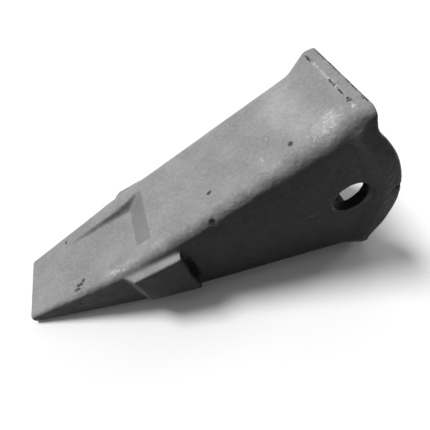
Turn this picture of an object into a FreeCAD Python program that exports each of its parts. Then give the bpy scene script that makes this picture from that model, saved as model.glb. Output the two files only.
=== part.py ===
import FreeCAD, Part
import math
import os

# Ripper point: the replaceable cast steel tooth that slides over the nose of a ripper shank
# and is held by one cross pin. It is a single casting, so it is a single solid.
#
# It is drawn about its own centre planes: x = 0 is the rear face of the collar, the tip is
# at -x, y is across and z is up. At the end it is laid down as it rests on a flat floor.
# All sizes are millimetres.

V = FreeCAD.Vector

# Length of the wedge
point_length = 312.0        # tip to the rear face of the collar
shoulder_from_rear = 212.0  # where the flanks turn in towards the tip

# Cross-sections of the wedge, before the collar flares out
tip_width = 64.0
tip_thickness = 9.0
tip_corner = 3.0
shoulder_width = 90.2
shoulder_height = 53.8
shoulder_corner = 8.2
rear_width = 93.4           # at the rear face of the collar
rear_height = 166.0
rear_corner = 17.6

# Collar round the mouth, flared by a cove
collar_height = 169.0
collar_width = 94.6         # across its top and bottom corners
ear_width = 107.0           # across the rims at mid height
collar_top_corner = 8.0
collar_bottom_corner = 15.0
collar_band = 11.0          # flat band on the top and bottom of the collar
cove_start = 33.0           # where the top and bottom begin to flare, ahead of x = 0
flank_flare = 12.0          # length of the flare on the flanks
flare_sink = 1.8            # how deep the flare's front is buried in the wedge's skin
rim_reach = 5.5             # how far behind x = 0 the flank's rim begins at mid height
rim_radius = 195.0          # curve of the rim's front edge, seen from the side
rim_round = 6.0             # rounding of that edge
rear_round = 2.0            # rounding of the collar's and the ears' rear edges

# Rounded ears behind the collar
ear_reach = 21.5            # behind the collar's rear face
ear_radius = 112.0
ear_root_radius = 20.0      # hollow curve from the collar down to each ear

# Socket for the shank's nose
socket_depth = 178.0
socket_mouth_width = 68.0
socket_mouth_height = 130.0
socket_end_width = 52.0
socket_end_height = 30.0
socket_corner = 9.0

# Cross pin bore
pin_bore = 31.0
pin_from_rear = 17.0
pin_chamfer = 2.0

# Striking lugs on the flanks, which stand out as far as the ears do
lug_rear = 161.0            # distance of the lug's rear face from x = 0
lug_length = 52.0
lug_ramp = 9.0              # sloping front part of the length
lug_height = 54.0           # at its rear face
lug_top_taper = 0.10        # fall of its top towards the front, per unit of length
lug_bottom_taper = 0.30     # rise of its bottom towards the front, per unit of length
lug_round = 1.5

# Hollow in the top and bottom faces ahead of the shoulder
hollow_rear = 179.0         # distance of its rear edge from x = 0
hollow_front = 268.0        # where its floor runs out
hollow_depth = 8.0
hollow_floor_width = 43.0
hollow_rear_width = 60.0    # across its rear edge
hollow_rear_run = 17.0      # length of the sloping rear wall
hollow_draft = 0.5          # spread of each side wall, per unit of depth

overrun = 20.0              # how far cutting tools pass the solid
same_place = 0.01           # edges nearer than this to a plane lie in it


def between(value, low, high, at_low, at_high):
    """Straight-line value between two stations."""
    return at_low + (value - low) / (high - low) * (at_high - at_low)


def wedge_size(x):
    """Half width, half height and corner radius of the plain wedge at x."""
    tip = (tip_width / 2, tip_thickness / 2, tip_corner)
    shoulder = (shoulder_width / 2, shoulder_height / 2, shoulder_corner)
    rear = (rear_width / 2, rear_height / 2, rear_corner)
    if x <= -shoulder_from_rear:
        return [between(x, -point_length, -shoulder_from_rear, a, b) for a, b in zip(tip, shoulder)]
    return [between(x, -shoulder_from_rear, 0.0, a, b) for a, b in zip(shoulder, rear)]


def block(x_front, x_rear):
    """Flat-faced length of the wedge between two stations."""
    (front_y, front_z, _), (rear_y, rear_z, _) = wedge_size(x_front), wedge_size(x_rear)
    solid = Part.makeWedge(-rear_y, -x_rear, -rear_z, -front_z, -front_y,
                           rear_y, -x_front, rear_z, front_z, front_y)
    solid.rotate(V(0, 0, 0), V(0, 0, 1), 90)
    return solid


def ridge_ring(front, rear, front_corner, rear_corner):
    """What rounds a long upper +y ridge between two points on it: a ring outside the cone that
    touches both faces. The cone's apex is where the corner radius would run out along the ridge."""
    run = rear - front
    growth = rear_corner - front_corner
    apex = front - run * (front_corner / growth)
    near, far = sorted([(front - apex).Length, (rear - apex).Length])
    ridge = V(run).normalize()
    outward = ridge if growth > 0 else -ridge
    top = V(-run.z, 0, run.x).normalize()
    flank = V(-run.y, run.x, 0).normalize()
    corner = max(front_corner, rear_corner)
    touch_top = (outward * far + ridge.cross(top) * corner).normalize()
    touch_flank = (outward * far + flank.cross(ridge) * corner).normalize()
    axis = touch_flank.cross(flank).cross(touch_top.cross(top)).normalize()
    start = apex + touch_top * (near / 2)
    end = apex + touch_top * (far + overrun)
    outline = [start, end, end + top * overrun, start + top * overrun, start]
    turn = math.degrees(touch_top.cross(axis).getAngle(touch_flank.cross(axis)))
    return Part.Face(Part.makePolygon(outline)).revolve(apex, axis, -turn)


def four_corners(upper):
    """The same piece at the four long corners of the tooth."""
    pair = [upper, upper.mirror(V(0, 0, 0), V(0, 1, 0))]
    return pair + [piece.mirror(V(0, 0, 0), V(0, 0, 1)) for piece in pair]


def wedge():
    """The plain four-sided wedge from the tip to the rear face of the collar."""
    stations = [-point_length, -shoulder_from_rear, 0.0]
    lengths = []
    for x_front, x_rear in zip(stations, stations[1:]):
        front_y, front_z, front_corner = wedge_size(x_front)
        rear_y, rear_z, rear_corner = wedge_size(x_rear)
        front, rear = V(x_front, front_y, front_z), V(x_rear, rear_y, rear_z)
        ring = ridge_ring(front, rear, front_corner, rear_corner)
        room = Part.makeBox(x_rear - x_front, rear_y + overrun, rear_z + overrun, V(x_front, 0, 0))
        lengths.append(block(x_front, x_rear).cut(four_corners(ring.common(room))))
    return lengths[0].fuse(lengths[1:])


def mirrored(points):
    """The same points in the opposite order and upside down."""
    return [V(p.x, p.y, -p.z) for p in reversed(points)]


def side_outline():
    """The collar and its ears seen from the side, from the top cove round to the bottom one."""
    start = V(-cove_start, 0, wedge_size(-cove_start)[1])
    crest = V(-collar_band, 0, collar_height / 2)
    lean = math.atan2(rear_height / 2 - shoulder_height / 2, shoulder_from_rear)
    chord = crest - start
    bend = math.atan2(chord.z, chord.x) - lean
    sag = chord.Length / 2 * math.tan(bend / 2)
    cove = (start + crest) * 0.5 + V(chord.z, 0, -chord.x).normalize() * sag

    centre = V(ear_reach - ear_radius, 0, 0)
    root = V(ear_root_radius, 0, 0)
    root.z = math.sqrt((ear_radius + ear_root_radius)**2 - (root.x - centre.x)**2)
    meet = centre + (root - centre) * (ear_radius / (ear_radius + ear_root_radius))
    foot = V(0, 0, root.z)
    hollow_middle = root + ((foot + meet) * 0.5 - root).normalize() * ear_root_radius

    top = V(0, 0, crest.z)
    upper = [start, cove, crest, top, foot, hollow_middle, meet]
    lower = mirrored(upper)
    edges = [Part.Arc(start, cove, crest).toShape(), Part.makeLine(crest, top), Part.makeLine(top, foot),
             Part.Arc(foot, hollow_middle, meet).toShape(),
             Part.Arc(meet, V(ear_reach, 0, 0), lower[0]).toShape(),
             Part.Arc(lower[0], lower[1], lower[2]).toShape(),
             Part.makeLine(lower[2], lower[3]), Part.makeLine(lower[3], lower[4]),
             Part.Arc(lower[4], lower[5], lower[6]).toShape(), Part.makeLine(lower[6], start)]
    return Part.Wire(edges)


def collar_bar():
    """Bar along x with the collar's barrel-sided cross-section and rounded corners."""
    front, back = -cove_start - overrun, ear_reach + overrun
    half_width, half_height = collar_width / 2, collar_height / 2
    corners = [V(front, half_width, half_height), V(front, -half_width, half_height),
               V(front, -half_width, -half_height), V(front, half_width, -half_height)]
    section = Part.Wire([Part.makeLine(corners[0], corners[1]),
                         Part.Arc(corners[1], V(front, -ear_width / 2, 0), corners[2]).toShape(),
                         Part.makeLine(corners[2], corners[3]),
                         Part.Arc(corners[3], V(front, ear_width / 2, 0), corners[0]).toShape()])
    bar = Part.Face(section).extrude(V(back - front, 0, 0))
    for up, corner in ((1, collar_top_corner), (-1, collar_bottom_corner)):
        ridges = [e for e in bar.Edges if e.BoundBox.XLength > overrun and up * e.BoundBox.Center.z > 0]
        bar = bar.makeFillet(corner, ridges)
    return bar


def flank_clearance(side):
    """What is cut off one side of the bar: a cone, so the rim swells out of the flank along a curve."""
    skin = wedge_size(0.0)[0]
    slope = flank_flare / (ear_width / 2 - skin)
    inner = skin - flare_sink
    outer = ear_width / 2 + overrun
    at_skin = rim_radius - flank_flare
    return Part.makeCone(at_skin - slope * flare_sink, at_skin + slope * (outer - skin), outer - inner,
                         V(rim_reach - rim_radius, side * inner, 0), V(0, side, 0))


def corner_clearance(side, up):
    """What is cut off one long corner of the bar, so it grows out of the wedge's rounded corner
    and ends as the collar's own."""
    half_width, half_height, corner = wedge_size(-cove_start)
    low = V(-cove_start, half_width - flare_sink, half_height - flare_sink)
    high = V(-collar_band, collar_width / 2, collar_height / 2)
    ring = ridge_ring(low, high, corner, collar_top_corner if up > 0 else collar_bottom_corner)
    if side < 0:
        ring = ring.mirror(V(0, 0, 0), V(0, 1, 0))
    return ring if up > 0 else ring.mirror(V(0, 0, 0), V(0, 0, 1))


def rear_edges(body):
    """Outer edges of the rear face and of the ears, without the lines across the mouth."""
    crest = collar_height / 2
    boxes = [(edge, edge.BoundBox) for edge in body.Edges]
    rear = [(edge, box) for edge, box in boxes
            if box.Center.x > 0 or box.XLength + abs(box.XMax) < same_place]
    return [edge for edge, box in rear
            if box.YLength < socket_mouth_width or crest - abs(box.Center.z) < same_place]


def rim_edges(body):
    """The two long front edges of the flanks' rims."""
    return [e for e in body.Edges if e.BoundBox.ZLength > collar_height / 2 and e.BoundBox.XMin < 0
            and abs(e.BoundBox.Center.y) > (collar_width + ear_width) / 4]


def collar():
    """The flared collar with an ear behind each flank."""
    side = ear_width / 2 + overrun
    outline = side_outline()
    outline.translate(V(0, -side, 0))
    body = Part.Face(outline).extrude(V(0, 2 * side, 0)).common(collar_bar())
    body = body.makeFillet(rear_round, rear_edges(body))
    body = body.cut([flank_clearance(1), flank_clearance(-1)])
    body = body.makeFillet(rim_round, rim_edges(body))
    return body.cut([corner_clearance(side, up) for side in (-1, 1) for up in (-1, 1)])


def socket():
    """The blind tapering socket, and the open space between the ears."""
    mouth_y, mouth_z = socket_mouth_width / 2, socket_mouth_height / 2
    end_y, end_z = socket_end_width / 2, socket_end_height / 2
    pocket = Part.makeWedge(-mouth_y, 0, -mouth_z, -end_z, -end_y,
                            mouth_y, socket_depth, mouth_z, end_z, end_y)
    pocket.rotate(V(0, 0, 0), V(0, 0, 1), 90)
    inner = [e for e in pocket.Edges if e.BoundBox.XLength > overrun]
    pocket = pocket.makeFillet(socket_corner, inner)
    gap = Part.makeBox(ear_reach + overrun, socket_mouth_width, collar_height + 2 * overrun,
                       V(0, -mouth_y, -collar_height / 2 - overrun))
    return pocket.fuse(gap)


def pin_hole():
    """The cross pin bore through both flanks, with its outer edges broken."""
    flank = wedge_size(-pin_from_rear)[0]
    clear = ear_width / 2 + overrun
    tool = Part.makeCylinder(pin_bore / 2, 2 * clear, V(-pin_from_rear, -clear, 0), V(0, 1, 0))
    for side in (-1, 1):
        start = V(-pin_from_rear, side * (flank - pin_chamfer), 0)
        rim = V(-pin_from_rear, side * flank, 0)
        out = V(0, side, 0)
        wide = pin_bore / 2 + pin_chamfer
        tool = tool.fuse(Part.makeCone(pin_bore / 2, wide, pin_chamfer, start, out))
        tool = tool.fuse(Part.makeCylinder(wide, clear, rim, out))
    return tool


def lug(side):
    """The striking lug on one flank: upright rear face, flat outer face, sloping front."""
    rear = -lug_rear
    front = rear - lug_length
    flank = wedge_size(front)[0]
    outer = ear_width / 2
    plan = [V(rear, flank - overrun, 0), V(rear, outer, 0), V(front + lug_ramp, outer, 0),
            V(front, flank - lug_round, 0), V(front, flank - overrun, 0)]
    slab = Part.Face(Part.makePolygon(plan + plan[:1])).extrude(V(0, 0, lug_height))
    half = lug_height / 2
    slab.translate(V(0, 0, -half))
    outline = [V(rear, 0, half), V(front, 0, half - lug_top_taper * lug_length),
               V(front, 0, lug_bottom_taper * lug_length - half), V(rear, 0, -half)]
    block = slab.common(Part.Face(Part.makePolygon(outline + outline[:1])).extrude(V(0, outer, 0)))
    edges = [e for e in block.Edges if all(v.Point.y > outer - lug_round for v in e.Vertexes)]
    block = block.makeFillet(lug_round, edges)
    return block if side > 0 else block.mirror(V(0, 0, 0), V(0, 1, 0))


def hollow(side):
    """The shallow hollow ahead of the shoulder: its floor fades out towards the tip."""
    foot = -hollow_rear - hollow_rear_run

    def section(x, width, depth):
        skin = wedge_size(x)[1]
        spread = width / 2 + hollow_draft * (depth + overrun)
        return Part.makePolygon([V(x, -width / 2, skin - depth), V(x, width / 2, skin - depth),
                                 V(x, spread, skin + overrun), V(x, -spread, skin + overrun),
                                 V(x, -width / 2, skin - depth)])

    deepest = section(foot, hollow_floor_width, hollow_depth)
    floor = Part.makeLoft([section(-hollow_front, hollow_floor_width, 0.0), deepest], True, True)
    wall = Part.makeLoft([deepest, section(-hollow_rear, hollow_rear_width, 0.0)], True, True)
    both = floor.fuse(wall)
    return both if side > 0 else both.mirror(V(0, 0, 0), V(0, 0, 1))


def lay_down(body):
    """Lay the tooth on the floor: it rests on its tip and on the front edge of its collar."""
    drop = (collar_height - tip_thickness) / 2
    angle = math.atan2(drop, point_length - collar_band)
    laid = body.copy()
    laid.rotate(V(0, 0, 0), V(0, 1, 0), -math.degrees(angle))
    box = laid.optimalBoundingBox()
    laid.translate(V(-(box.XMin + box.XMax) / 2, -(box.YMin + box.YMax) / 2, -box.ZMin))
    return laid


def tooth():
    """The whole casting, about its own centre planes."""
    body = wedge().fuse(collar())
    body = body.cut(socket())
    body = body.fuse([lug(1), lug(-1)])
    body = body.cut(hollow(1)).cut(hollow(-1))
    return body.cut(pin_hole()).Solids[0]


if __name__ == "__main__":
    os.makedirs("parts", exist_ok=True)
    lay_down(tooth()).exportStep("parts/tooth.step")
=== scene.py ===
import math

import bmesh
import bpy
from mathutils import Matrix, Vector, noise

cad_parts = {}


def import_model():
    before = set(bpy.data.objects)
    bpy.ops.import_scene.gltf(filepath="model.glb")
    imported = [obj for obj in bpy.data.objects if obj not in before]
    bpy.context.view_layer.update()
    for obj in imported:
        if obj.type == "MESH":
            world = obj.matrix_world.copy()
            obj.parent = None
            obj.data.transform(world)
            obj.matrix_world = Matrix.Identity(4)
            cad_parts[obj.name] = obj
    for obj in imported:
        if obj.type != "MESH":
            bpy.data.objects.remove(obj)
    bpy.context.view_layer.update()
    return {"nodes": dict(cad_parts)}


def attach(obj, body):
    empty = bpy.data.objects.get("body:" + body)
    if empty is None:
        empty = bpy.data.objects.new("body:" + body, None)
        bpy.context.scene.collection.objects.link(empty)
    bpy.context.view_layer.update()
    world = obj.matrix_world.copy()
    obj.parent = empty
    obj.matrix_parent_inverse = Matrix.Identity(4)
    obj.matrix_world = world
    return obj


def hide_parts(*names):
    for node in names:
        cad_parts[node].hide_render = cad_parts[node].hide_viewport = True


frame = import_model()
scene = bpy.context.scene

# Everything is in metres, in the resting frame: tip at -X, socket's mouth at +X, floor at z = 0.
# The casting's own axes lean to the floor by this angle, in radians. They start at the middle of the
# collar's rear face: x runs back, y across, z from the mid plane up. Marks on the skin are placed
# in them.
LEAN = 0.2597751
OFFSET = Vector((0.1561117, 0.0, 0.0459321))
MM = 0.001

# Skin
VOXEL = 1.5 * MM
SOFTEN_PASSES = 4
RELAX = 0.5                 # each pass draws the skin in by this much, then lets it out a little more,
LET_OUT = -0.52             # so that it softens without shrinking
CORNER_PASSES = 14          # extra softening where the flares meet at the collar's corners
SINK = 0.32 * MM            # how far the whole skin is moved in, so that no bump leaves the CAD's box
SWELL = 0.25 * MM           # wandering of the faces over a few centimetres
SWELLS = 30.0               # to the metre
RIPPLE = 0.12 * MM          # and over about a centimetre
RIPPLES = 95.0              # to the metre
CORNER_GAIN = 2.0           # how soon the extra softening is full, inwards from a flare's rim

# Paint
PAINT = 0.293               # mean grey of the painted casting
PAINT_SPREAD = 0.060
SPECKLE = 2.2               # how light the fine specks are, against half that spread
OXIDE = 0.075               # bottoms of chips and pits
SHADE = 0.03                # painted shade in the socket and bore, and in the corner behind the near lug
BARE_AND_GLINT = 0.58                 # metal rubbed bright, also the colour of the painted glints and highlights
SPECULAR = 0.13
GLOSS = (0.36, 0.54)        # roughness of the paint, from its glossiest to its dullest
GLOSS_BARE = 0.34
GLOSS_DARK = 0.80

# Clouds of noise, as features to the metre, detail and roughness
BLOTCHES = (38.0, 5.0, 0.62)
GRAIN = (420.0, 4.0, 0.65)
SPECKS = (300.0, 4.0, 0.70)
POCKS = (260.0, 2.0, 0.50)
FLECKS = (560.0, 3.0, 0.60)
FLAKES = (700.0, 2.0, 0.60)
SHEEN = (150.0, 4.0, 0.60)
SOFT = (90.0, 4.0, 0.60)
COARSE = (330.0, 4.0, 0.70)
FINE = (520.0, 3.0, 0.65)
CLOUD = (0.3, 0.7)          # the range that most of a cloud's values fall in
SPECKS_FROM = (0.56, 0.74)  # and the ranges in which these three set in
FLECKS_FROM = (0.44, 0.62)
POCKS_FROM = (0.745, 0.79)
GRAIN_SHARE = 0.9           # how strong the grain is, against the blotches
FLECK_LEAST = 0.25          # how much of a bright mark shows between its flecks
POCK_SHARE = 0.45           # how dark a pock is, against a chip

# Bumps, as a cloud and its height
ORANGE_PEEL = [
    ((60.0, 3.0, 0.50), 1.10 * MM),
    ((230.0, 3.0, 0.55), 0.62 * MM),
    ((900.0, 2.0, 0.50), 0.16 * MM),
]
DUG = 0.5 * MM              # step at the rim of a dark mark
FLAKED = 0.25 * MM          # roughness of a bright one

# How a list of marks ends: how much a cloud frays its rims, and the share of its reach that is full
CHIP_RIM = (5.5, 0.5)
RUB_RIM = (6.0, 0.7)
SCUFF_AND_GLINT_RIM = (4.0, 0.2)
LUG_SHADE_RIM = (2.0, 0.45)
TONE_RIM = (4.0, 0.2)
WALL_RIM = (0.0, 0.8)


class Mark:
    """A mark on the skin: an ellipsoid about a place in the casting's axes, in millimetres."""

    def __init__(self, centre, reach, depth=0.0, edge=0.35):
        self.centre = Vector(centre) * MM
        self.reach = Vector(reach) * MM
        self.depth = depth * MM
        self.edge = edge

    def at(self, place):
        """How deep inside the mark a place lies: 1 at its middle, 0 at its rim and beyond."""
        far = Vector([(p - c) / r for p, c, r in zip(place, self.centre, self.reach)]).length
        return max(0.0, 1.0 - far * far)


# Socket, as half widths and half heights
SOCKET_DEPTH = 178 * MM
SOCKET_MOUTH = (34 * MM, 65 * MM)
SOCKET_END = (26 * MM, 15 * MM)
SOCKET_MARGIN = 2.0 * MM

# Pin bore, across the tooth
BORE_CENTRE = Vector((-17, 0, 0)) * MM
BORE_RADIUS = 15.5 * MM
BORE_BEVEL = 2.0 * MM
BORE_MARGIN = (0.2 * MM, 0.4 * MM, 0.6 * MM)    # how far past its edges its masks fade

# Marks that are dents as well as dark spots, most of them on the top faces
CHIPS = [
    Mark((-254, -29, 18), (3.6, 1.9, 8), 0.7, 1.1),
    Mark((-257, -32, 15), (3.6, 1.5, 8), 0.5, 1.1),
    Mark((-250, -27, 18), (2.0, 1.9, 8), 0.5, 1.1),
    Mark((-121, -23, 51), (2.6, 1.7, 8), 0.8),
    Mark((-54, -28, 69), (2.0, 2.9, 8), 0.9),
    Mark((-127, -46, 43), (3.2, 4.0, 5), 1.1),
    Mark((-10.5, 31, 84), (1.2, 4.6, 5), 0.5, 1.0),
    Mark((-10.5, -5, 84), (0.9, 4.4, 5), 0.5, 1.0),
    Mark((-10.5, -18, 84), (0.8, 4.6, 5), 0.4, 1.0),
    Mark((-10.5, -28, 84), (1.3, 2.8, 5), 0.6, 0.8),
    Mark((19.5, -52, 1), (5.0, 4.0, 2.2), 0.8),
    Mark((-268, 27, 13), (2.0, 1.6, 8), 0.4),
    Mark((-262, -39, 4), (1.5, 4.0, 1.3), 0.3),
]
# Painted shade in the corner behind the near lug
LUG_PAINTED_SHADE = [Mark((-159.5, -48, -2), (5.5, 9.0, 28.0), 0.0, 0.6)]
# Where the cove and the flank's flare meet, at the four long corners of the collar
FLARES = [Mark((-20, side * 45, up * 72), (18, 13, 16)) for side in (-1, 1) for up in (-1, 1)]
# Paint worn to the dark skin along the collar's rear top edge
RUBS = [
    Mark((-0.6, 30, 84), (1.8, 10, 2.6), 0.0, 0.8),
    Mark((-0.5, 9, 84), (1.6, 14, 2.6), 0.0, 0.8),
    Mark((-0.5, -17, 84), (1.5, 12, 2.6), 0.0, 0.8),
    Mark((-0.6, -34, 84), (1.9, 7, 2.6), 0.0, 0.8),
]
# Rubbed bright, and partly painted glints and highlights: on the cove and along the collar band's front
# edge
SCUFFS_AND_GLINTS = [
    Mark((-218, -37, 26), (11.0, 4.0, 8), 0.0, 0.9),
    Mark((-207, -41, 26), (6.0, 2.2, 6), 0.0, 1.0),
    Mark((-34, -36, 73), (13.0, 6.0, 9), 0.0, 1.1),
    Mark((-25, -31, 77), (8.0, 8.0, 9), 0.0, 1.2),
    Mark((-11.0, -35, 84), (2.2, 3.0, 6), 0.0, 0.5),
    Mark((-10.4, -2, 84), (1.5, 40, 6), 0.0, 0.9),
    Mark((-76, -26, 64), (1.1, 3.6, 8), 0.0, 0.4),
    Mark((-66, -10, 66), (1.2, 1.6, 8), 0.0, 0.6),
    Mark((-52, -46, 0), (8.0, 8.0, 3.0), 0.0, 1.3),
]

# Painted light, to the photo's shade of grey: places painted lighter where light and highlights fall, the
# cove ahead of the collar, the near flank by the tip, and the ridge between them
COVE_PAINTED_LIGHT = [Mark((-29, -37, 76), (19, 25, 13)), Mark((-45, 6, 72), (26, 52, 14), 0.0, 0.1)]
COVE_LIGHTER = 0.26
NOSE_PAINTED_LIGHT = [Mark((-258, -44, 0), (42, 13, 24))]
NOSE_LIGHTER = 0.5
RIDGE_AT = (-218, -40, 22)          # a point on that ridge
RIDGE_RISE = 0.25                   # its rise towards the collar, per unit of length
RIDGE_PAINTED_HIGHLIGHT = [Mark((x, RIDGE_AT[1], RIDGE_AT[2] + RIDGE_RISE * (x - RIDGE_AT[0])), (26, 8, 9))
              for x in range(-262, -20, 22)]
RIDGE_LIGHTER = 0.22
# Painted shade: the nose hollow's rear wall, painted darker where it faces the tip, to the photo's shade
HOLLOW_WALL_PAINTED_SHADE = [Mark((-187, 0, up * 30), (24, 42, 24)) for up in (-1, 1)]
WALL_LEAN = math.radians(39.8)      # of its normal, forward of the casting's z
WALL_FACING = (0.94, 0.985)         # cosines between which the toning sets in
WALL_DARKER = 0.24

# Floor
FLOOR_HALF = 6.0
FLOOR_SEEN = 1.0            # its colour to the camera
FLOOR_LIFT = 0.05           # what it gives off to the camera
FLOOR_BOUNCE = 0.015        # its colour to light that bounces

# Light: a broad key from above, behind and the tip's side, a low one from the tip, one on the socket's
# mouth, and a sky that is bright on the far side and dark on the camera's. Widths are in degrees.
KEY_FROM = Vector((-0.44, 0.27, 0.86))
KEY_STRENGTH = 2.6
KEY_WIDTH = 18.0
RAKE_FROM = Vector((-0.97, 0.10, 0.20))
RAKE_STRENGTH = 0.28
RAKE_WIDTH = 18.0
BACK_FROM = Vector((0.93, 0.28, 0.22))
BACK_STRENGTH = 0.8
BACK_WIDTH = 18.0
SKY_FROM = Vector((-0.40, 0.80, 0.45))
SKY_DARK = 0.005
SKY_BRIGHT = 0.56
SKY_GRADE = (0.0, 0.9)      # cosines to that direction between which the sky brightens
LAMP_AWAY = 2.0

# Camera, solved from the photo's perspective
SENSOR = 36.0
LENS = 29.937
SHIFT = (0.00682, 0.01762)
CAMERA_AT = (-0.031472, -0.209415, 0.298756)
CAMERA_TURNED = (39.2870, 2.9321, -16.0160)     # degrees
CLIP = (0.01, 50.0)


def casting_axes(point):
    """A floor-frame point in the casting's own axes."""
    c, s = math.cos(LEAN), math.sin(LEAN)
    return Vector((point.x * c + point.z * s, point.y, -point.x * s + point.z * c)) - OFFSET


def cast_skin():
    """The casting's skin: the CAD solid remeshed finely, softened and made slightly uneven."""
    source = frame["nodes"]["tooth"]
    piece = bpy.data.objects.new("tooth_skin", source.data.copy())
    piece.data.name = "tooth_skin"
    scene.collection.objects.link(piece)
    remesh = piece.modifiers.new("remesh", "REMESH")
    remesh.mode = "VOXEL"
    remesh.voxel_size = VOXEL
    remesh.adaptivity = 0.0
    bake(piece)
    corners = piece.vertex_groups.new(name="corners")
    for vertex in piece.data.vertices:
        weight = max(mark.at(casting_axes(vertex.co)) for mark in FLARES)
        if weight > 0.0:
            corners.add([vertex.index], min(1.0, CORNER_GAIN * weight), "REPLACE")
    blend = piece.modifiers.new("blend", "SMOOTH")
    blend.iterations = CORNER_PASSES
    blend.vertex_group = "corners"
    for _ in range(SOFTEN_PASSES):
        for factor in (RELAX, LET_OUT):
            soften = piece.modifiers.new("soften", "SMOOTH")
            soften.factor = factor
            soften.iterations = 1
    bake(piece)
    piece.vertex_groups.clear()
    mesh = piece.data
    uneven(mesh)
    for polygon in mesh.polygons:
        polygon.use_smooth = True
    return piece


def bake(piece):
    """Applies the piece's modifiers."""
    graph = bpy.context.evaluated_depsgraph_get()
    mesh = bpy.data.meshes.new_from_object(piece.evaluated_get(graph))
    piece.modifiers.clear()
    piece.data = mesh


def uneven(mesh):
    """Moves the skin in a little, as a sand casting's faces wander, and dents it at the chips."""
    normals = [v.normal.copy() for v in mesh.vertices]
    for vertex, normal in zip(mesh.vertices, normals):
        place = vertex.co
        wander = noise.noise(place * SWELLS) * SWELL + noise.noise(place * RIPPLES) * RIPPLE
        cast = casting_axes(place)
        dent = max(mark.depth * mark.at(cast) for mark in CHIPS)
        vertex.co = place - normal * (SINK + dent - wander)


class Paint:
    """Builds the casting's material: small helpers that add a node and return its output."""

    def __init__(self, name):
        self.material = bpy.data.materials.new(name)
        self.material.use_nodes = True
        self.nodes = self.material.node_tree.nodes
        self.links = self.material.node_tree.links
        self.shader = self.nodes["Principled BSDF"]
        coords = self.nodes.new("ShaderNodeTexCoord")
        self.raw = coords.outputs["Object"]
        self.normal = coords.outputs["Normal"]
        mapping = self.nodes.new("ShaderNodeMapping")
        mapping.inputs["Rotation"].default_value = (0.0, LEAN, 0.0)
        mapping.inputs["Location"].default_value = -OFFSET
        self.links.new(self.raw, mapping.inputs["Vector"])
        self.place = mapping.outputs["Vector"]

    def feed(self, source, target):
        """Links an output to an input, or sets the input where the source is a plain value."""
        if isinstance(source, bpy.types.NodeSocket):
            self.links.new(source, target)
        else:
            target.default_value = source

    def sums(self, operation, first, second=0.0):
        node = self.nodes.new("ShaderNodeMath")
        node.operation = operation
        self.feed(first, node.inputs[0])
        self.feed(second, node.inputs[1])
        return node.outputs[0]

    def vectors(self, operation, first, second=(0.0, 0.0, 0.0)):
        node = self.nodes.new("ShaderNodeVectorMath")
        node.operation = operation
        self.feed(first, node.inputs[0])
        self.feed(second, node.inputs[1])
        return node.outputs["Value" if operation in ("LENGTH", "DOT_PRODUCT") else "Vector"]

    def cloud(self, kind):
        node = self.nodes.new("ShaderNodeTexNoise")
        for name, number in zip(("Scale", "Detail", "Roughness"), kind):
            node.inputs[name].default_value = number
        self.links.new(self.raw, node.inputs["Vector"])
        return node.outputs["Fac"]

    def facing(self, direction, least, full):
        """1 where the smooth surface faces the direction, given in the floor frame."""
        return self.spread(self.vectors("DOT_PRODUCT", self.normal, direction), least, full)

    def spread(self, value, low, high, to_low=0.0, to_high=1.0):
        node = self.nodes.new("ShaderNodeMapRange")
        node.interpolation_type = "SMOOTHSTEP"
        names = ("From Min", "From Max", "To Min", "To Max")
        for name, number in zip(names, (low, high, to_low, to_high)):
            node.inputs[name].default_value = number
        self.feed(value, node.inputs["Value"])
        return node.outputs["Result"]

    def blend(self, factor, first, second):
        node = self.nodes.new("ShaderNodeMix")
        node.data_type = "FLOAT"
        self.feed(factor, node.inputs["Factor"])
        self.feed(first, node.inputs["A"])
        self.feed(second, node.inputs["B"])
        return node.outputs["Result"]

    def spots(self, marks, ragged, fray, full):
        """One mask for a list of marks, full inside that share of their reach, their rims frayed."""
        mask = None
        for mark in marks:
            offset = self.vectors("SUBTRACT", self.place, mark.centre)
            share = self.vectors("DIVIDE", offset, mark.reach)
            far = self.vectors("LENGTH", share)
            far = self.sums("ADD", far, self.sums("MULTIPLY", ragged, fray * mark.edge))
            inside = self.spread(far, 1.0, full)
            mask = inside if mask is None else self.sums("MAXIMUM", mask, inside)
        return mask

    def bump(self, layers):
        """Stacks bumps of the given (height, distance) pairs and feeds them to the shader."""
        last = None
        for height, distance in layers:
            node = self.nodes.new("ShaderNodeBump")
            node.inputs["Distance"].default_value = distance
            self.feed(height, node.inputs["Height"])
            if last is not None:
                self.links.new(last, node.inputs["Normal"])
            last = node.outputs["Normal"]
        self.links.new(last, self.shader.inputs["Normal"])


def inside_socket(paint):
    """1 on the socket's walls, painted in shade, which close in evenly from the mouth to the blind end.
    """
    split = paint.nodes.new("ShaderNodeSeparateXYZ")
    paint.links.new(paint.place, split.inputs[0])
    mask = paint.spread(split.outputs["X"], SOCKET_MARGIN, 0.0)
    for name, mouth, end in zip("YZ", SOCKET_MOUTH, SOCKET_END):
        wall = paint.sums("MULTIPLY", split.outputs["X"], (mouth - end) / SOCKET_DEPTH)
        wall = paint.sums("ADD", wall, mouth + SOCKET_MARGIN)
        room = paint.sums("SUBTRACT", wall, paint.sums("ABSOLUTE", split.outputs[name]))
        mask = paint.sums("MINIMUM", mask, paint.spread(room, 0.0, SOCKET_MARGIN))
    return mask


def round_bore(paint):
    """1 on the pin bore's wall, and 1 on the bevel round its outer edge."""
    offset = paint.vectors("SUBTRACT", paint.place, BORE_CENTRE)
    flat = paint.vectors("MULTIPLY", offset, (1.0, 0.0, 1.0))
    radius = paint.vectors("LENGTH", flat)
    little, more, most = BORE_MARGIN
    rim = BORE_RADIUS + BORE_BEVEL
    wall = paint.spread(radius, BORE_RADIUS + most, BORE_RADIUS + little)
    outer = paint.spread(radius, rim + more, rim - little)
    return wall, paint.sums("MULTIPLY", outer, paint.sums("SUBTRACT", 1.0, wall))


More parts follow.
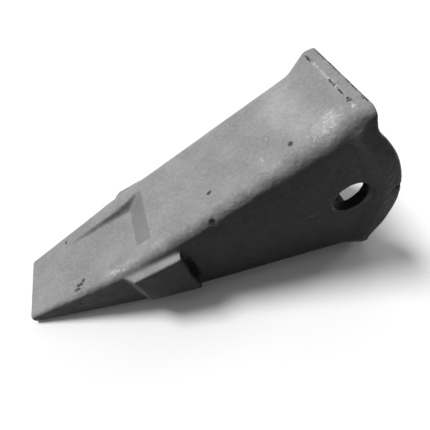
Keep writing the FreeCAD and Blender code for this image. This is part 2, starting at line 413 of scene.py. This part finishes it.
def steel():
    """Grey paint over a cast steel skin: slightly glossy, grained like orange peel, chipped, scuffed,
    with painted glints, highlights and shade.
    """
    paint = Paint("grey_casting")
    blotch = paint.spread(paint.cloud(BLOTCHES), *CLOUD, -1.0, 1.0)
    grain = paint.spread(paint.cloud(GRAIN), *CLOUD, -GRAIN_SHARE, GRAIN_SHARE)
    speck = paint.spread(paint.cloud(SPECKS), *SPECKS_FROM, 0.0, SPECKLE)
    tone = paint.sums("ADD", paint.sums("ADD", blotch, grain), speck)
    tone = paint.sums("ADD", paint.sums("MULTIPLY", tone, PAINT_SPREAD / 2), PAINT)

    soft, coarse, fine = [paint.sums("SUBTRACT", paint.cloud(kind), 0.5) for kind in (SOFT, COARSE, FINE)]
    # Painted light: the cove, the near nose flank and the ridge are made lighter
    toned = ((COVE_PAINTED_LIGHT, COVE_LIGHTER), (NOSE_PAINTED_LIGHT, NOSE_LIGHTER), (RIDGE_PAINTED_HIGHLIGHT, RIDGE_LIGHTER))
    for marks, lighter in toned:
        gain = paint.sums("MULTIPLY", paint.spots(marks, soft, *TONE_RIM), lighter)
        tone = paint.sums("MULTIPLY", tone, paint.sums("ADD", gain, 1.0))

    # Painted shade: the nose hollow's rear wall is darkened where it faces the tip
    for up in (-1, 1):
        lean = WALL_LEAN + up * LEAN
        wall = paint.facing((-math.sin(lean), 0.0, up * math.cos(lean)), *WALL_FACING)
        wall = paint.sums("MULTIPLY", wall, paint.spots(HOLLOW_WALL_PAINTED_SHADE, 0.0, *WALL_RIM))
        kept = paint.sums("SUBTRACT", 1.0, paint.sums("MULTIPLY", wall, WALL_DARKER))
        tone = paint.sums("MULTIPLY", tone, kept)

    chip = paint.spots(CHIPS, fine, *CHIP_RIM)
    rub = paint.spots(RUBS, fine, *RUB_RIM)
    # Rubbed bright, and partly painted glints and highlights
    scuff_and_glint = paint.spots(SCUFFS_AND_GLINTS, coarse, *SCUFF_AND_GLINT_RIM)
    flecks = paint.spread(paint.cloud(FLECKS), *FLECKS_FROM, FLECK_LEAST, 1.0)
    scuff_and_glint = paint.sums("MULTIPLY", scuff_and_glint, flecks)
    # Painted shade in the corner behind the near lug
    lug_shade = paint.spots(LUG_PAINTED_SHADE, fine, *LUG_SHADE_RIM)
    dark = paint.sums("MAXIMUM", chip, rub)
    pock = paint.spread(paint.cloud(POCKS), *POCKS_FROM)
    dark = paint.sums("MAXIMUM", dark, paint.sums("MULTIPLY", pock, POCK_SHARE))

    bore, bevel = round_bore(paint)
    # Painted shade: the socket's walls, the bore's wall and the corner behind the near lug are darkened
    painted_shade = paint.sums("MAXIMUM", paint.sums("MAXIMUM", inside_socket(paint), bore), lug_shade)
    # Painted highlight: the bore's bevel is made bright all round
    scuff_and_glint = paint.sums("MAXIMUM", scuff_and_glint, bevel)
    tone = paint.blend(scuff_and_glint, tone, BARE_AND_GLINT)
    tone = paint.blend(dark, tone, OXIDE)
    tone = paint.blend(painted_shade, tone, SHADE)
    paint.feed(tone, paint.shader.inputs["Base Color"])
    gloss = paint.spread(paint.cloud(SHEEN), *CLOUD, *GLOSS)
    gloss = paint.blend(scuff_and_glint, gloss, GLOSS_BARE)
    gloss = paint.blend(paint.sums("MAXIMUM", dark, painted_shade), gloss, GLOSS_DARK)
    paint.feed(gloss, paint.shader.inputs["Roughness"])
    paint.shader.inputs["Metallic"].default_value = 0.0
    paint.shader.inputs["Specular IOR Level"].default_value = SPECULAR

    dug = paint.sums("SUBTRACT", 1.0, dark)
    flaked = paint.sums("MULTIPLY", scuff_and_glint, paint.cloud(FLAKES))
    layers = [(paint.cloud(kind), height) for kind, height in ORANGE_PEEL]
    paint.bump(layers + [(dug, DUG), (flaked, FLAKED)])
    return paint.material


def floor():
    """The ground: seen as white and still taking the tooth's soft shadow, but dark to the light that
    bounces, so that the shaded flank stays as dark as it looks."""
    material = bpy.data.materials.new("pale_floor")
    material.use_nodes = True
    nodes, links = material.node_tree.nodes, material.node_tree.links
    pale = nodes["Principled BSDF"]
    pale.inputs["Base Color"].default_value = (FLOOR_SEEN, FLOOR_SEEN, FLOOR_SEEN, 1.0)
    pale.inputs["Roughness"].default_value = 1.0
    pale.inputs["Specular IOR Level"].default_value = 0.0
    pale.inputs["Emission Color"].default_value = (1.0, 1.0, 1.0, 1.0)
    pale.inputs["Emission Strength"].default_value = FLOOR_LIFT
    dull = nodes.new("ShaderNodeBsdfDiffuse")
    dull.inputs["Color"].default_value = (FLOOR_BOUNCE, FLOOR_BOUNCE, FLOOR_BOUNCE, 1.0)
    mix = nodes.new("ShaderNodeMixShader")
    links.new(seen_ray(nodes, links), mix.inputs["Fac"])
    links.new(dull.outputs["BSDF"], mix.inputs[1])
    links.new(pale.outputs["BSDF"], mix.inputs[2])
    links.new(mix.outputs["Shader"], nodes["Material Output"].inputs["Surface"])

    mesh = bpy.data.meshes.new("floor")
    box = bmesh.new()
    bmesh.ops.create_grid(box, x_segments=8, y_segments=8, size=FLOOR_HALF)
    box.to_mesh(mesh)
    box.free()
    ground = bpy.data.objects.new("floor", mesh)
    scene.collection.objects.link(ground)
    mesh.materials.append(material)


def seen_ray(nodes, links):
    """1 for rays that come from the camera, straight or by way of a gloss or a pane."""
    rays = nodes.new("ShaderNodeLightPath")
    total = None
    for name in ("Is Camera Ray", "Is Glossy Ray", "Is Transmission Ray"):
        if total is None:
            total = rays.outputs[name]
            continue
        either = nodes.new("ShaderNodeMath")
        either.operation = "MAXIMUM"
        links.new(total, either.inputs[0])
        links.new(rays.outputs[name], either.inputs[1])
        total = either.outputs[0]
    return total


def sun(name, toward, strength, width):
    """A lamp like the sun, whose light comes from the given direction."""
    data = bpy.data.lights.new(name, "SUN")
    data.energy = strength
    data.angle = math.radians(width)
    lamp = bpy.data.objects.new(name, data)
    lamp.location = toward.normalized() * LAMP_AWAY
    lamp.rotation_euler = toward.to_track_quat("Z", "Y").to_euler()
    scene.collection.objects.link(lamp)


def world():
    """White to the camera; to the casting, a sky graded from its far side to the camera's side."""
    sky = bpy.data.worlds.new("studio")
    scene.world = sky
    sky.use_nodes = True
    nodes, links = sky.node_tree.nodes, sky.node_tree.links
    background = nodes["Background"]
    coords = nodes.new("ShaderNodeTexCoord")
    facing = nodes.new("ShaderNodeVectorMath")
    facing.operation = "DOT_PRODUCT"
    facing.inputs[1].default_value = SKY_FROM.normalized()
    links.new(coords.outputs["Generated"], facing.inputs[0])
    grade = nodes.new("ShaderNodeMapRange")
    grade.interpolation_type = "SMOOTHSTEP"
    names = ("From Min", "From Max", "To Min", "To Max")
    for name, number in zip(names, (*SKY_GRADE, SKY_DARK, SKY_BRIGHT)):
        grade.inputs[name].default_value = number
    links.new(facing.outputs["Value"], grade.inputs["Value"])
    mix = nodes.new("ShaderNodeMix")
    mix.data_type = "FLOAT"
    rays = nodes.new("ShaderNodeLightPath")
    links.new(rays.outputs["Is Camera Ray"], mix.inputs["Factor"])
    links.new(grade.outputs["Result"], mix.inputs["A"])
    mix.inputs["B"].default_value = 1.0
    links.new(mix.outputs["Result"], background.inputs["Strength"])
    background.inputs["Color"].default_value = (1.0, 1.0, 1.0, 1.0)


def camera():
    """The photo's viewpoint, found from its perspective."""
    data = bpy.data.cameras.new("camera")
    data.sensor_fit = "HORIZONTAL"
    data.sensor_width = SENSOR
    data.lens = LENS
    data.shift_x, data.shift_y = SHIFT
    data.clip_start, data.clip_end = CLIP
    viewer = bpy.data.objects.new("camera", data)
    viewer.location = CAMERA_AT
    viewer.rotation_euler = [math.radians(turn) for turn in CAMERA_TURNED]
    scene.collection.objects.link(viewer)
    scene.camera = viewer


skin = cast_skin()
skin.data.materials.clear()
skin.data.materials.append(steel())
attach(skin, "root")
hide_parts("tooth")

floor()
world()
sun("key", KEY_FROM, KEY_STRENGTH, KEY_WIDTH)
sun("rake", RAKE_FROM, RAKE_STRENGTH, RAKE_WIDTH)
sun("back", BACK_FROM, BACK_STRENGTH, BACK_WIDTH)
camera()
scene.view_settings.view_transform = "Standard"
